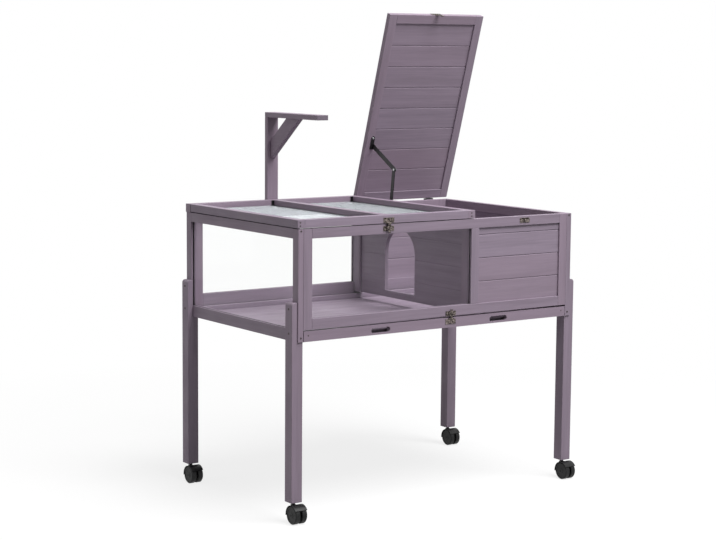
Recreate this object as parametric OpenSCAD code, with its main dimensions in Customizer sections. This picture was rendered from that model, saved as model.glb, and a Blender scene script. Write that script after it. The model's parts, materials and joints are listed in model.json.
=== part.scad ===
/* [Cabinet body] */
// Length of the cabinet body between the outer faces of its side frames, mm
body_l = 960; // [800:10:1200]
// Depth of the cabinet body from front face to back face, mm
body_d = 600; // [500:10:720]
// Height of the cabinet body from its underside to its top rails, mm
body_h = 305; // [260:5:400]
// Thickness of every wall frame, mm
frame_t = 17; // [14:1:22]
// Width of the corner posts and of the top rails, mm
rail_w = 27; // [22:1:34]
// Width of the upright stiles in the front and back frames, mm
stile_w = 28; // [22:1:36]
// Height of the front frame's bottom rail above the tray, mm
low_rail_h = 29; // [24:1:44]
// Depth of the grooves that hold the window panes and the planks, mm
groove_d = 5; // [3:1:8]
// Width of the glue line left between two butted timbers, mm
glue = 0.1; // [0.05:0.05:0.3]

/* [Windows and planks] */
// Thickness of the clear window panes, mm
pane_t = 3; // [2:0.5:4]
// Distance of the panes behind the outer face of their frame, mm
pane_set = 7; // [4:0.5:9]
// Height of one plank from groove to groove, mm
plank_w = 67; // [50:1:90]
// Thickness of the planks, mm
plank_t = 8; // [6:0.5:10]
// Distance of the planks behind the outer face of their frame, mm
plank_set = 4.5; // [3:0.5:6]
// Size of the bevel along the edges of each plank, mm
plank_bevel = 1.4; // [0.8:0.2:2.4]
// Gap between neighbouring planks, mm
plank_gap = 0.4; // [0.2:0.1:0.8]

/* [Hide compartment] */
// Length of the closed hide compartment, right side face to partition centre, mm
hide_l = 360; // [280:10:460]
// Thickness of the partition panel, mm
partition_t = 12; // [8:1:16]
// Width of the arched doorway in the partition, mm
door_w = 150; // [110:5:190]
// Height of the doorway's arch above its sill, mm
door_h = 192; // [150:2:200]
// Height of the doorway's sill above the lower edge of the partition, mm
door_sill = 20; // [10:1:30]
// Distance of the doorway's centre behind the middle of the cabinet, mm
door_y = 55; // [0:5:90]

/* [Legs and casters] */
// Square section of the legs, mm
leg_w = 34; // [26:1:40]
// Clear height of the legs between the casters and the cabinet's underside, mm
leg_free = 438; // [300:2:600]
// Height of the outer half of the leg that laps up the side frame, mm
lap_h = 108; // [70:2:140]
// Set back of the legs from the front and back faces, mm
leg_inset = 3; // [2:1:12]
// Radius of the rounded outer corner at the top of each lap, mm
lap_r = 9; // [4:1:12]
// Overall height of one caster, floor to leg, mm
caster_h = 57; // [56:1:80]
// Diameter of the caster wheels, mm
wheel_d = 50; // [40:1:54]
// Width of each of the two wheels of a caster, mm
wheel_w = 15.5; // [9:0.5:18]
// Distance of the wheel axle behind the swivel axis, mm
trail = 18; // [12:1:22]

/* [Tray] */
// Height of the tray's front board, mm
tray_front_h = 29; // [26:1:40]
// Dark gap between the tray front and the rail above it, mm
tray_gap = 4; // [1.5:0.5:4]
// Side clearance of the tray in the cabinet, mm
tray_play = 1.5; // [1:0.5:3]
// Height of the runners under the tray, mm
runner_h = 8; // [6:1:10]
// Thickness of the tray's side and back boards, mm
tray_side_t = 9; // [7:1:12]
// Thickness of the tray's floor, mm
tray_floor_t = 4; // [3:0.5:5]
// Length of each finger slot, mm
slot_l = 64; // [50:1:80]
// Height of each finger slot, mm
slot_h = 15; // [12:1:17]
// Distance of each finger slot from the middle of the tray, mm
slot_x = 208; // [120:2:300]

/* [Mesh lid] */
// Gap between a closed lid and the body under it, mm
lid_gap = 2.4; // [2.4:0.1:4]
// Height of the mesh lid's frame, mm
mesh_lid_h = 22; // [18:1:28]
// Width of the mesh lid's rails, mm
mesh_rail_w = 25; // [20:1:32]
// Overhang of the mesh lid past the left side, mm
mesh_over = 2; // [0:0.5:5]
// Thickness of the mesh wires, mm
wire_t = 1.2; // [1:0.1:1.8]
// Number of mesh gaps across each panel
mesh_nx = 8; // [5:1:8]
// Number of mesh gaps along each panel
mesh_ny = 18; // [10:1:18]
// Height of the mesh above the underside of the lid, mm
mesh_up = 4; // [3:0.5:6]

/* [Hide lid] */
// Thickness of the hide lid, mm
hide_lid_h = 17; // [14:1:22]
// Angle of the hide lid above its closed position, degrees
hide_open = 73; // [72:0.5:74]
// Gap between the two lids, mm
lid_split = 6; // [3:1:10]
// Distance of the stay's upper pivot from the hinge, along the lid, mm
stay_along = 185; // [183:1:187]
// Depth of the stay's upper pivot below the lid's underside, mm
stay_drop = 9; // [8.5:0.5:10]
// Distance of the stay's lower pivot in front of the back face, mm
stay_low_y = 148; // [146:1:150]
// Depth of the stay's lower pivot below the body's top, mm
stay_low_z = 40; // [38:1:42]
// Length of the stay's lower link between its pivots, mm
stay_low_l = 154; // [152:1:156]
// Length of the stay's upper link between its pivots, mm
stay_up_l = 125; // [123:1:127]
// Width of the stay's links, mm
stay_w = 14; // [10:1:15]
// Thickness of the stay's links, mm
stay_t = 2; // [1.5:0.25:2.5]

/* [Lamp bracket] */
// Distance of the lamp bracket left of the cabinet's middle, mm
lamp_x = 183; // [120:1:260]
// Height of the lamp arm's top above the body's top, mm
lamp_h = 286; // [220:2:360]
// Length of the lamp arm, mm
lamp_l = 284; // [200:2:340]
// Width of the lamp post and arm, mm
lamp_w = 38; // [30:1:46]
// Thickness of the lamp post, arm and brace, mm
lamp_t = 15; // [12:1:18]
// Width of the lamp bracket's diagonal brace, mm
brace_w = 44; // [34:1:50]

/* [Hinges and hasps] */
// Thickness of the hinge leaves, mm
leaf_t = 1; // [0.8:0.1:1.1]
// Radius of the hinge barrels, mm
barrel_r = 2.6; // [2.4:0.1:3]
// Radius of the hinge pins, mm
pin_r = 1.2; // [1:0.1:1.4]
// Radial running clearance of every pin in its bore, mm
run = 0.05; // [0.03:0.01:0.08]
// Width of the hasp plates, mm
hasp_w = 36; // [30:1:42]
// Height of the hasp plates, mm
hasp_h = 14; // [12:1:16]
// Thickness of the hasp plates, mm
hasp_t = 1.2; // [1:0.1:1.5]
// Length of the hasp's hinged flap, mm
flap_l = 27; // [24:1:30]

/* [Hidden] */
$fn = 32;
wood = [0.53, 0.48, 0.54];
dark = [0.12, 0.12, 0.13];
bronze = [0.36, 0.29, 0.2];

// heights
body_z = caster_h + leg_free;
top_z = body_z + body_h;
low_z = body_z + tray_front_h + tray_gap;
sill_z = low_z + low_rail_h;
lintel_z = top_z - rail_w;
lid_z = top_z + lid_gap;
mesh_top_z = lid_z + mesh_lid_h;
// plan positions
sx = body_l / 2;
sy = body_d / 2;
ix = sx - frame_t;
iy = sy - frame_t;
part_x = sx - hide_l;
lap_t = leg_w / 2;
leg_x = sx + lap_t - leg_w / 2;
leg_y = sy - leg_inset - leg_w / 2;
// mesh lid plan
mesh_x0 = -sx - mesh_over;
mesh_x1 = part_x - lid_split / 2;
mesh_y0 = -sy - 1;
bar_y0 = sy - mesh_rail_w;
hinge_gap = 2 * leaf_t + 0.6;
mesh_y1 = bar_y0 - hinge_gap;
mesh_mid = (mesh_x0 + mesh_x1) / 2;
mesh_axis_y = bar_y0 - hinge_gap / 2;
mesh_barrel_r = 1.8;
mesh_pin_r = 0.9;
mesh_axis_z = mesh_top_z - mesh_barrel_r;
// half width of the notch that takes the mesh lid's hinge barrels, across the axis
mesh_notch = mesh_barrel_r + 0.5;
rail_xs = [mesh_x0 + mesh_rail_w / 2, mesh_mid, mesh_x1 - mesh_rail_w / 2];
// hide lid plan and hinge axis
hide_x0 = part_x + lid_split / 2;
hide_x1 = sx;
hide_y0 = -sy - 1;
hide_axis_y = sy + barrel_r + 0.2;
hide_axis_z = top_z + lid_gap / 2;
hide_mid = (hide_x0 + hide_x1) / 2;
hide_hinge_xs = [hide_mid - 105, hide_mid + 105];
// hasps: x of each
mesh_hasp_x = mesh_mid - 3;
hide_hasp_x = hide_mid - 1;
tray_hasp_x = 34;
knuckle_r = 1.8;
knuckle_y = hasp_t + knuckle_r;
hasp_pin_r = 0.7;
// distance from the hasp's pin to the middle of its eye
ring_d = 15;
// stay: pivots in the plane across the hinge
stay_x = part_x + stile_w / 2 + 10.5;
low_pivot = [sy - stay_low_y, top_z - stay_low_z];
closed_pivot = [hide_axis_y - stay_along, lid_z - stay_drop];
// a point swung open about the hide lid's hinge
function swing(p, a) = [
    hide_axis_y + (p[0] - hide_axis_y) * cos(a) + (p[1] - hide_axis_z) * sin(a),
    hide_axis_z - (p[0] - hide_axis_y) * sin(a) + (p[1] - hide_axis_z) * cos(a)];
// the knee where two links of lengths a and b from points p and q meet
function knee(p, q, a, b) =
    let (d = norm(q - p), x = (a * a - b * b + d * d) / (2 * d))
    let (h = sqrt(max(a * a - x * x, 0)), e = (q - p) / d)
    p + e * x + [-e[1], e[0]] * h;
top_pivot = swing(closed_pivot, hide_open);
stay_knee = knee(low_pivot, top_pivot, stay_low_l, stay_up_l);

// ---------- shared shapes ----------
// a box given by its two corners
module span(a, b) {
    translate(a) cube(b - a);
}
// a cylinder along X from x0 to x1
module rod_x(x0, x1, r, y, z) {
    translate([x0, y, z]) rotate([0, 90, 0]) cylinder(r = r, h = x1 - x0);
}
// planks lying along X, stacked up Z, each with bevelled edges, between y0 and y0 + plank_t;
// the first is wider than the others by first
module planks_x(x0, x1, y0, z0, z1, first = 0) {
    n = max(1, floor((z1 - z0 - first) / plank_w + 0.7));
    for (i = [0 : n - 1]) {
        a = z0 + i * plank_w + (i == 0 ? 0 : first + plank_gap / 2);
        b = i == n - 1 ? z1 : z0 + first + (i + 1) * plank_w - plank_gap / 2;
        translate([x0, y0, a])
            rotate([90, 0, 90])
                linear_extrude(x1 - x0)
                    polygon([[0, plank_bevel], [plank_bevel, 0],
                        [plank_t - plank_bevel, 0], [plank_t, plank_bevel],
                        [plank_t, b - a - plank_bevel], [plank_t - plank_bevel, b - a],
                        [plank_bevel, b - a], [0, b - a - plank_bevel]]);
    }
}
// a countersunk screw head lying proud of a face; its axis is Z and it sinks into the wood
module screw_head(r = 3.2) {
    difference() {
        cylinder(r = r, h = 0.6);
        translate([-r, -0.4, 0.3]) cube([2 * r, 0.8, 1]);
        translate([-0.4, -r, 0.3]) cube([0.8, 2 * r, 1]);
    }
}

// ---------- legs ----------
// a leg drawn at the right rear; the signs mirror it to the other corners
module leg(kx, ky) {
    color(wood)
    mirror([kx < 0 ? 1 : 0, 0, 0])
    mirror([0, ky < 0 ? 1 : 0, 0])
    difference() {
        union() {
            translate([leg_x - leg_w / 2, leg_y - leg_w / 2, caster_h])
                cube([leg_w, leg_w, leg_free]);
            translate([sx, leg_y - leg_w / 2, body_z])
                cube([lap_t, leg_w, lap_h - lap_r]);
            translate([sx, leg_y - leg_w / 2, body_z])
                cube([lap_t - lap_r, leg_w, lap_h]);
            translate([sx + lap_t - lap_r, leg_y + leg_w / 2, body_z + lap_h - lap_r])
                rotate([90, 0, 0])
                    intersection() {
                        cylinder(r = lap_r, h = leg_w);
                        cube([lap_r, lap_r, leg_w]);
                    }
        }
        translate([leg_x, leg_y, caster_h - 1]) cylinder(r = 5.5, h = 37);
    }
}
module leg_front_left() { leg(-1, -1); }
module leg_front_right() { leg(1, -1); }
module leg_rear_left() { leg(-1, 1); }
module leg_rear_right() { leg(1, 1); }

// ---------- side frames ----------
// one side frame at the left: two posts, a top rail and a bottom rail, grooved for its panel
module side_frame(panel_y, panel_t) {
    difference() {
        union() {
            span([-sx, -sy, body_z], [-ix, -sy + rail_w, top_z]);
            span([-sx, sy - rail_w, body_z], [-ix, sy, top_z]);
            span([-sx, -sy + rail_w + glue, body_z], [-ix, sy - rail_w - glue, low_z]);
            span([-sx, -sy + rail_w + glue, lintel_z], [-ix, sy - rail_w - glue, top_z]);
        }
        span([-sx + panel_y - 0.1, -sy + rail_w - groove_d - 0.2, low_z - groove_d - 0.2],
            [-sx + panel_y + panel_t + 0.1, sy - rail_w + groove_d + 0.2, lintel_z + groove_d + 0.2]);
    }
}
module left_frame() {
    color(wood) side_frame(pane_set, pane_t);
}
module left_window() {
    color([0.8, 0.9, 0.92, 0.35])
        span([-sx + pane_set, -sy + rail_w - groove_d, low_z - groove_d],
            [-sx + pane_set + pane_t, sy - rail_w + groove_d, lintel_z + groove_d]);
}
module right_frame() {
    color(wood) mirror([1, 0, 0]) side_frame(plank_set, plank_t);
}
module right_planks() {
    color(wood)
        translate([sx - plank_set, 0, 0])
            rotate([0, 0, 90])
                planks_x(-sy + rail_w - groove_d, sy - rail_w + groove_d, 0,
                    low_z - groove_d, lintel_z + groove_d);
}

// ---------- front and back frames ----------
// the uprights and rails of a long wall drawn at the front, from height z0, with panel grooves
module long_frame(z0) {
    difference() {
        union() {
            span([-ix + glue, -sy, z0], [-ix + stile_w, -iy, top_z]);
            span([part_x - stile_w / 2, -sy, sill_z + glue], [part_x + stile_w / 2, -iy, lintel_z - glue]);
            span([ix - stile_w, -sy, z0], [ix - glue, -iy, top_z]);
            for (z = [[z0, sill_z], [lintel_z, top_z]])
                span([-ix + stile_w + glue, -sy, z[0]], [ix - stile_w - glue, -iy, z[1]]);
        }
        span([-ix + stile_w - groove_d - 0.2, -sy + pane_set - 0.1, sill_z - groove_d - 0.2],
            [part_x - stile_w / 2 + groove_d + 0.2, -sy + pane_set + pane_t + 0.1,
                lintel_z + groove_d + 0.2]);
        span([part_x + stile_w / 2 - groove_d - 0.2, -sy + plank_set - 0.1, sill_z - groove_d - 0.2],
            [ix - stile_w + groove_d + 0.2, -sy + plank_set + plank_t + 0.1,
                lintel_z + groove_d + 0.2]);
    }
}
module long_window() {
    span([-ix + stile_w - groove_d, -sy + pane_set, sill_z - groove_d],
        [part_x - stile_w / 2 + groove_d, -sy + pane_set + pane_t, lintel_z + groove_d]);
}
module long_planks() {
    planks_x(part_x + stile_w / 2 - groove_d, ix - stile_w + groove_d, -sy + plank_set,
        sill_z - groove_d, lintel_z + groove_d);
}
module front_frame() { color(wood) long_frame(low_z); }
module front_window() { color([0.8, 0.9, 0.92, 0.35]) long_window(); }
module front_planks() { color(wood) long_planks(); }
module back_frame() { color(wood) mirror([0, 1, 0]) long_frame(body_z); }
module back_window() { color([0.8, 0.9, 0.92, 0.35]) mirror([0, 1, 0]) long_window(); }
module back_planks() { color(wood) mirror([0, 1, 0]) long_planks(); }

// ---------- partition ----------
// a panel across the cabinet with an arched doorway for the animal
module partition() {
    color(wood)
    difference() {
        span([part_x - partition_t / 2, -iy + glue, low_z],
            [part_x + partition_t / 2, iy - glue, lintel_z - glue]);
        translate([part_x - partition_t, door_y - door_w / 2, low_z + door_sill])
            cube([2 * partition_t, door_w, door_h - door_w / 2]);
        translate([part_x - partition_t, door_y, low_z + door_sill + door_h - door_w / 2])
            rotate([0, 90, 0]) cylinder(r = door_w / 2, h = 2 * partition_t, $fn = 64);
        // plank grooves on both faces
        for (z = [low_z + plank_w - 7 : plank_w : lintel_z - 12])
            for (k = [-1, 1])
                translate([part_x + k * partition_t / 2, 0, z])
                    rotate([0, 45, 0]) cube([1.6, body_d, 1.6], center = true);
    }
}
// the rail along the top of the partition, under the meeting edges of both lids
module partition_rail() {
    color(wood) span([part_x - stile_w / 2, -iy + glue, lintel_z], [part_x + stile_w / 2, iy - glue, top_z]);
}
// battens that fix the partition's ends to the front and back frames
module partition_battens() {
    color(wood)
        for (k = [-1, 1])
            span([part_x - stile_w / 2, min(k * (iy - glue), k * (iy - stile_w)), low_z],
                [part_x - partition_t / 2 - glue, max(k * (iy - glue), k * (iy - stile_w)), lintel_z - glue]);
}

// ---------- tray supports ----------
stretch_w = 18;
module tray_runners() {
    color(wood) {
        for (x = [-ix, part_x - stretch_w / 2, ix - stretch_w])
            span([x + (x == -ix ? glue : 0), -iy + 2 + stretch_w + glue, body_z],
                [x + stretch_w - glue, iy - glue, body_z + runner_h]);
    }
}
module front_stretcher() {
    color(wood)
        span([-ix + glue, -iy + 2, body_z], [ix - glue, -iy + 2 + stretch_w, body_z + runner_h]);
}

// ---------- rear bar and lamp bracket ----------
module rear_top_bar() {
    color(wood)
    difference() {
        span([mesh_x0, bar_y0, top_z], [mesh_x1, sy, mesh_top_z]);
        barrel_notches();
    }
}
lamp_x0 = -lamp_x - lamp_w / 2;
lamp_top_z = top_z + lamp_h;
arm_low_z = lamp_top_z - lamp_t;
module lamp_post() {
    color(wood) span([lamp_x0, sy, lintel_z], [lamp_x0 + lamp_w, sy + lamp_t, arm_low_z]);
}
module lamp_arm() {
    color(wood)
        span([lamp_x0, sy + lamp_t - lamp_l, arm_low_z], [lamp_x0 + lamp_w, sy + lamp_t, lamp_top_z]);
}
brace_a = 38.5;
brace_run = 156;
module lamp_brace() {
    out_z = arm_low_z - brace_run * tan(brace_a);
    color(wood)
        translate([-lamp_x - lamp_t / 2, 0, 0])
            rotate([90, 0, 90])
                linear_extrude(lamp_t)
                    polygon([[sy, out_z], [sy, out_z + brace_w / cos(brace_a)],
                        [sy - brace_run + brace_w / sin(brace_a), arm_low_z],
                        [sy - brace_run, arm_low_z]]);
}

// ---------- mesh lid ----------
mesh_leaf_w = 40;
mesh_leaf_h = 17;
mesh_knuckle = 9;
// where the hinge of the bar at x begins and ends
function leaf_x0(x) = max(x - mesh_leaf_w / 2, mesh_x0 + 1);
function leaf_x1(x) = min(x + mesh_leaf_w / 2, mesh_x1 - 1);
// notches in the upper edges beside the hinge axis, so that the barrels lie flush
module barrel_notches() {
    for (x = rail_xs)
        span([leaf_x0(x) - 0.3, mesh_axis_y - mesh_notch, mesh_axis_z - mesh_notch],
            [leaf_x1(x) + 0.3, mesh_axis_y + mesh_notch, mesh_top_z + 1]);
}
module mesh_lid_frame() {
    color(wood)
    difference() {
        union() {
            span([mesh_x0, mesh_y0, lid_z], [mesh_x0 + mesh_rail_w, mesh_y1, mesh_top_z]);
            span([mesh_x1 - mesh_rail_w, mesh_y0, lid_z], [mesh_x1, mesh_y1, mesh_top_z]);
            span([mesh_x0 + mesh_rail_w + glue, mesh_y0, lid_z],
                [mesh_x1 - mesh_rail_w - glue, mesh_y0 + mesh_rail_w, mesh_top_z]);
            span([mesh_mid - mesh_rail_w / 2, mesh_y0 + mesh_rail_w + glue, lid_z],
                [mesh_mid + mesh_rail_w / 2, mesh_y1, mesh_top_z]);
            // slim slats under the rear edge of the mesh
            for (p = mesh_panels)
                span([p[0] + glue, mesh_y1 - 14, lid_z], [p[1] - glue, mesh_y1, lid_z + mesh_up - 0.1]);
        }
        for (p = mesh_panels)
            span([p[0] - mesh_tuck - 0.2, mesh_y0 + mesh_rail_w - mesh_tuck - 0.2, lid_z + mesh_up - 0.1],
                [p[1] + mesh_tuck + 0.2, mesh_y1 + 1, lid_z + mesh_up + 2 * wire_t + glue + 0.1]);
        barrel_notches();
    }
}
mesh_tuck = 5;
mesh_panels = [[mesh_x0 + mesh_rail_w, mesh_mid - mesh_rail_w / 2],
    [mesh_mid + mesh_rail_w / 2, mesh_x1 - mesh_rail_w]];
// two panels of welded wire mesh, tucked into grooves low in the lid's frame: each wire is a piece
// of its own, and the short wires lie on the long ones
module mesh_lid_mesh() {
    ya = mesh_y0 + mesh_rail_w - mesh_tuck;
    yb = mesh_y1 - 2;
    z = lid_z + mesh_up;
    color([0.72, 0.74, 0.75])
        for (p = mesh_panels) {
            xa = p[0] - mesh_tuck;
            xb = p[1] + mesh_tuck;
            for (i = [0 : mesh_nx])
                translate([xa + (xb - xa - wire_t) * i / mesh_nx, ya, z])
                    cube([wire_t, yb - ya, wire_t]);
            for (j = [0 : mesh_ny])
                translate([xa, ya + (yb - ya - wire_t) * j / mesh_ny, z + wire_t + glue])
                    cube([xb - xa, wire_t, wire_t]);
        }
}
// the leaves on the rear bar, their outer barrels and the pins
module mesh_hinge_base() {
    color(dark)
        for (x = rail_xs) {
            x0 = leaf_x0(x);
            x1 = leaf_x1(x);
            difference() {
                union() {
                    span([x0, bar_y0 - leaf_t, mesh_top_z - mesh_leaf_h], [x1, bar_y0, mesh_axis_z]);
                    rod_x(x0, x0 + mesh_knuckle, mesh_barrel_r, mesh_axis_y, mesh_axis_z);
                    rod_x(x1 - mesh_knuckle, x1, mesh_barrel_r, mesh_axis_y, mesh_axis_z);
                }
                // room for the lid's middle barrel
                rod_x(x0 + mesh_knuckle, x1 - mesh_knuckle, mesh_barrel_r + 0.3, mesh_axis_y, mesh_axis_z);
            }
            rod_x(x0 + mesh_knuckle / 2, x1 - mesh_knuckle / 2, mesh_pin_r, mesh_axis_y, mesh_axis_z);
        }
}
// the leaves on the ends of the lid's bars, with their middle barrels
module mesh_hinge_leaf() {
    color(dark)
        for (x = rail_xs) {
            a = max(leaf_x0(x) + mesh_knuckle + 0.3, x - mesh_rail_w / 2 + 1);
            b = min(leaf_x1(x) - mesh_knuckle - 0.3, x + mesh_rail_w / 2 - 1);
            difference() {
                union() {
                    span([a, mesh_y1, mesh_top_z - mesh_leaf_h], [b, mesh_y1 + leaf_t, mesh_axis_z - 0.5]);
                    rod_x(a, b, mesh_barrel_r, mesh_axis_y, mesh_axis_z);
                }
                rod_x(a - 1, b + 1, mesh_pin_r + run, mesh_axis_y, mesh_axis_z);
            }
        }
}

// ---------- hasps ----------
// a hasp's fixed plate with two outer knuckles and the pin; y = 0 is the face it is screwed to,
// the knuckles lie at z = 0 and the plate stands above them
module hasp_plate() {
    span([-hasp_w / 2, -hasp_t, 1], [hasp_w / 2, 0, 1 + hasp_h]);
    difference() {
        union() {
            span([-9, -hasp_t, -knuckle_r], [9, 0, 1.2]);
            rod_x(-9, -4, knuckle_r, -knuckle_y + 0.01, 0);
            rod_x(4, 9, knuckle_r, -knuckle_y + 0.01, 0);
        }
        rod_x(-4.01, 4.01, knuckle_r + 0.25, -knuckle_y, 0);
    }
    rod_x(-6, 6, hasp_pin_r, -knuckle_y, 0);
    for (k = [-1, 1])
        translate([k * (hasp_w / 2 - 5), -hasp_t, 1 + hasp_h / 2]) rotate([90, 0, 0]) screw_head(2.4);
}
// the hinged flap hanging from the knuckles: a ring with an oval eye and a curled tip
module hasp_flap() {
    difference() {
        union() {
            rod_x(-3.8, 3.8, knuckle_r, -knuckle_y, 0);
            span([-3.8, -knuckle_y - knuckle_r, -9], [3.8, -knuckle_y - knuckle_r + hasp_t, 0]);
            translate([0, -knuckle_y - knuckle_r + hasp_t, -ring_d])
                rotate([90, 0, 0]) cylinder(r = 8, h = hasp_t);
            span([-3, -knuckle_y - knuckle_r, -flap_l + 2], [3, -knuckle_y - knuckle_r + hasp_t, -ring_d - 6]);
            rod_x(-3, 3, 2, -knuckle_y - knuckle_r - 0.6, -flap_l + 2);
        }
        rod_x(-5, 5, hasp_pin_r + run, -knuckle_y, 0);
        // the eye that drops over the staple
        translate([-2.2, -knuckle_y - 5, -ring_d - 4.5]) cube([4.4, 10, 9]);
    }
}
// the catch plate with its staple, y = 0 on the face; the staple's top stands proud by reach
module catch_plate(reach) {
    span([-hasp_w / 2, -hasp_t, -hasp_h / 2], [hasp_w / 2, 0, hasp_h / 2]);
    for (k = [-1, 1])
        translate([k * (hasp_w / 2 - 5), -hasp_t, 0]) rotate([90, 0, 0]) screw_head(2.4);
    c = -hasp_t - reach + 3;
    translate([-1, 0, 0])
        rotate([0, 90, 0])
            difference() {
                intersection() {
                    union() {
                        translate([0, c, 0]) cylinder(r = 3, h = 2);
                        translate([-3, c, 0]) cube([6, max(-c, 0.1), 2]);
                    }
                    translate([-4, -hasp_t - reach - 1, -1]) cube([8, hasp_t + reach + 0.5, 4]);
                }
                translate([0, c, -1]) cylinder(r = 1.4, h = 4);
            }
}
lid_knuckle_z = lid_z + 0.6;
catch_z = lid_knuckle_z - ring_d;
tray_catch_z = low_z + hasp_h / 2 + 0.5;
tray_knuckle_z = tray_catch_z - ring_d;
// how far the staples stand out: those of the lids stop just behind the flap
flap_back = knuckle_y + knuckle_r - hasp_t;
// the catch plates of both lids and of the tray, on the body's front
module catch_plates() {
    color(bronze) {
        translate([mesh_hasp_x, -sy, catch_z]) catch_plate(flap_back + 1 - hasp_t - 0.4);
        translate([hide_hasp_x, -sy, catch_z]) catch_plate(flap_back + 1 - hasp_t - 0.4);
        translate([tray_hasp_x, -sy, tray_catch_z]) catch_plate(flap_back + 2);
    }
}
module mesh_hasp_plate() {
    color(bronze) translate([mesh_hasp_x, mesh_y0, lid_knuckle_z]) hasp_plate();
}
module mesh_hasp_flap() {
    color(bronze) translate([mesh_hasp_x, mesh_y0, lid_knuckle_z]) hasp_flap();
}
module tray_hasp_plate() {
    color(bronze) translate([tray_hasp_x, -sy, tray_knuckle_z]) mirror([0, 0, 1]) hasp_plate();
}
module tray_hasp_flap() {
    color(bronze) translate([tray_hasp_x, -sy, tray_knuckle_z]) mirror([0, 0, 1]) hasp_flap();
}

// ---------- hide lid ----------
// turns what is drawn closed up to the lid's open rest position
module opened() {
    translate([0, hide_axis_y, hide_axis_z])
        rotate([-hide_open, 0, 0])
            translate([0, -hide_axis_y, -hide_axis_z]) children();
}
hide_stile_w = 28;
hide_top_z = lid_z + hide_lid_h;
module hide_lid_frame() {
    z0 = lid_z + plank_set;
    color(wood) opened()
    difference() {
        union() {
            span([hide_x0, hide_y0, lid_z], [hide_x0 + hide_stile_w, sy, hide_top_z]);
            span([hide_x1 - hide_stile_w, hide_y0, lid_z], [hide_x1, sy, hide_top_z]);
            span([hide_x0 + hide_stile_w + glue, hide_y0, lid_z],
                [hide_x1 - hide_stile_w - glue, hide_y0 + hide_stile_w, hide_top_z]);
            span([hide_x0 + hide_stile_w + glue, sy - hide_stile_w, lid_z],
                [hide_x1 - hide_stile_w - glue, sy, hide_top_z]);
        }
        span([hide_x0 + hide_stile_w - groove_d - 0.2, hide_y0 + hide_stile_w - groove_d - 0.2, z0 - 0.1],
            [hide_x1 - hide_stile_w + groove_d + 0.2, sy - hide_stile_w + groove_d + 0.2, z0 + plank_t + 0.1]);
    }
}
module hide_lid_planks() {
    z0 = lid_z + plank_set;
    color(wood) opened()
        translate([0, 0, z0 + plank_t])
            rotate([-90, 0, 0])
                planks_x(hide_x0 + hide_stile_w - groove_d, hide_x1 - hide_stile_w + groove_d, 0,
                    hide_y0 + hide_stile_w - groove_d, sy - hide_stile_w + groove_d, groove_d + 3);
}
hide_leaf_w = 34;
hide_leaf_h = 15;
hide_knuckle = 8;
// the leaves on the cabinet's back face, their outer barrels and the pins
module hide_hinge_base() {
    color(dark)
        for (x = hide_hinge_xs) {
            x0 = x - hide_leaf_w / 2;
            x1 = x + hide_leaf_w / 2;
            difference() {
                union() {
                    span([x0, sy, top_z - hide_leaf_h], [x1, sy + leaf_t, hide_axis_z]);
                    rod_x(x0, x0 + hide_knuckle, barrel_r, hide_axis_y, hide_axis_z);
                    rod_x(x1 - hide_knuckle, x1, barrel_r, hide_axis_y, hide_axis_z);
                }
                // room for the lid's middle barrel
                rod_x(x0 + hide_knuckle, x1 - hide_knuckle, barrel_r + 0.3, hide_axis_y, hide_axis_z);
            }
            rod_x(x0 + hide_knuckle / 2, x1 - hide_knuckle / 2, pin_r, hide_axis_y, hide_axis_z);
        }
}
// the leaves on the lid's back edge, with their middle barrels
module hide_hinge_leaf() {
    color(dark) opened()
        for (x = hide_hinge_xs) {
            x0 = x - hide_leaf_w / 2 + hide_knuckle + 0.3;
            x1 = x + hide_leaf_w / 2 - hide_knuckle - 0.3;
            difference() {
                union() {
                    span([x0, sy, hide_axis_z], [x1, sy + leaf_t, lid_z + hide_leaf_h]);
                    span([x - hide_leaf_w / 2, sy, lid_z + barrel_r], [x + hide_leaf_w / 2, sy + leaf_t, lid_z + hide_leaf_h]);
                    rod_x(x0, x1, barrel_r, hide_axis_y, hide_axis_z);
                }
                rod_x(x0 - 1, x1 + 1, pin_r + run, hide_axis_y, hide_axis_z);
            }
        }
}
module hide_hasp_plate() {
    color(bronze) opened() translate([hide_hasp_x, hide_y0, lid_knuckle_z]) hasp_plate();
}
module hide_hasp_flap() {
    color(bronze) opened() translate([hide_hasp_x, hide_y0, lid_knuckle_z]) hasp_flap();
}

// ---------- folding lid stay ----------
// a flat link of the stay from point p to point q, starting at x, with round ends
module link(p, q, x, ends) {
    len = norm(q - p);
    translate([x, p[0], p[1]])
        rotate([atan2(q[1] - p[1], q[0] - p[0]), 0, 0])
            difference() {
                union() {
                    translate([0, 0, -stay_w / 2]) cube([stay_t, len, stay_w]);
                    for (y = [0, len]) rod_x(0, stay_t, stay_w / 2, y, 0);
                }
                for (y = ends) rod_x(-1, stay_t + 1, stay_pin_r + run, y == 0 ? 0 : len, 0);
            }
}
stay_pin_r = 2;
low_x = stay_x;
up_x = stay_x + stay_t + 0.6;
module stay_link_low() {
    color(dark) link(low_pivot, stay_knee, low_x, [0]);
}
module stay_link_top() {
    color(dark) link(top_pivot, stay_knee, up_x, [0]);
}
// the knee rivet: a shank on the outer face of the upper link, ending in a bright domed head
rivet_l = 3.5;
module stay_rivet() {
    color([0.75, 0.75, 0.75])
        translate([up_x + stay_t, stay_knee[0], stay_knee[1]])
            rotate([0, 90, 0]) {
                cylinder(r = 2.6, h = rivet_l);
                translate([0, 0, rivet_l]) cylinder(r1 = 4.2, r2 = 2.6, h = 2);
            }
}
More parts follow.
